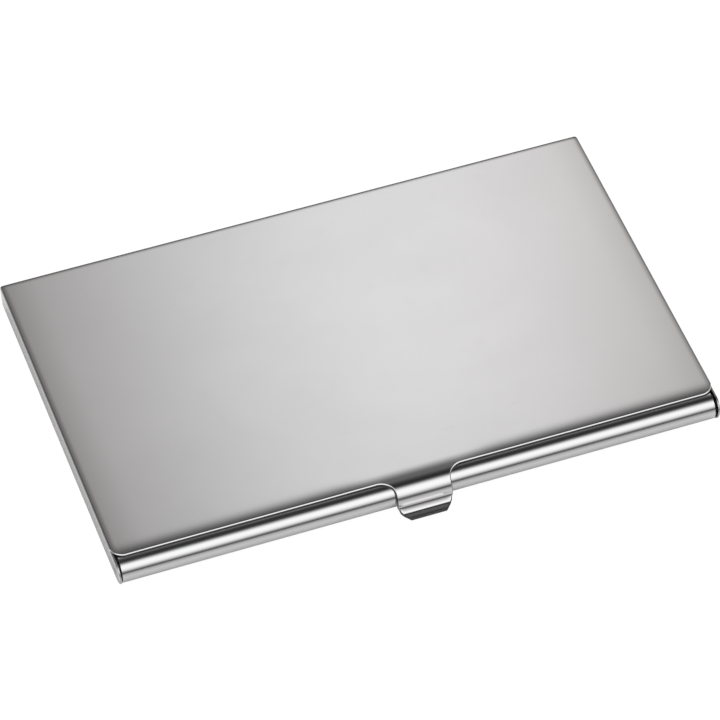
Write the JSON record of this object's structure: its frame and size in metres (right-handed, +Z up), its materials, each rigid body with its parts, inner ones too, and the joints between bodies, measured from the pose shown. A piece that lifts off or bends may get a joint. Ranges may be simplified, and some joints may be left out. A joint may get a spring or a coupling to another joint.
{
  "type": "business card case",
  "caption": "Slim hinged metal case for business cards: pressed lid with a thumb tab turning about the rolled tube of a shallow tray.",
  "frame": {"origin": "centre of the footprint of the closed case, on the plane it rests on", "axes": "+Z up through the lid, +X along the long side and parallel to the hinge axis, +Y from the hinge edge with the thumb tab towards the back edge"},
  "size_m": [0.093, 0.0602, 0.0049],
  "materials": {
    "lid_steel": "satin polish with bright sheared edges",
    "tray_steel": "polished outside, plain mill finish inside",
    "pin_steel": "turned",
    "spring_steel": "hard rolled spring strip",
    "rivet_steel": "formed head, as set"
  },
  "bodies": {
    "case_base": {"tray": "tray_steel", "pivot_pin_left": "pin_steel", "pivot_pin_right": "pin_steel", "card_spring": "spring_steel", "spring_rivet_left": "rivet_steel", "spring_rivet_right": "rivet_steel"},
    "case_lid": {"lid": "lid_steel"}
  },
  "joints": [
    {"name": "lid_hinge", "type": "hinge", "parent": "case_base", "child": "case_lid", "pos_m": [0, -0.02545, 0.0022], "axis": [1, 0, 0], "range_deg": [0, 105]}
  ]
}
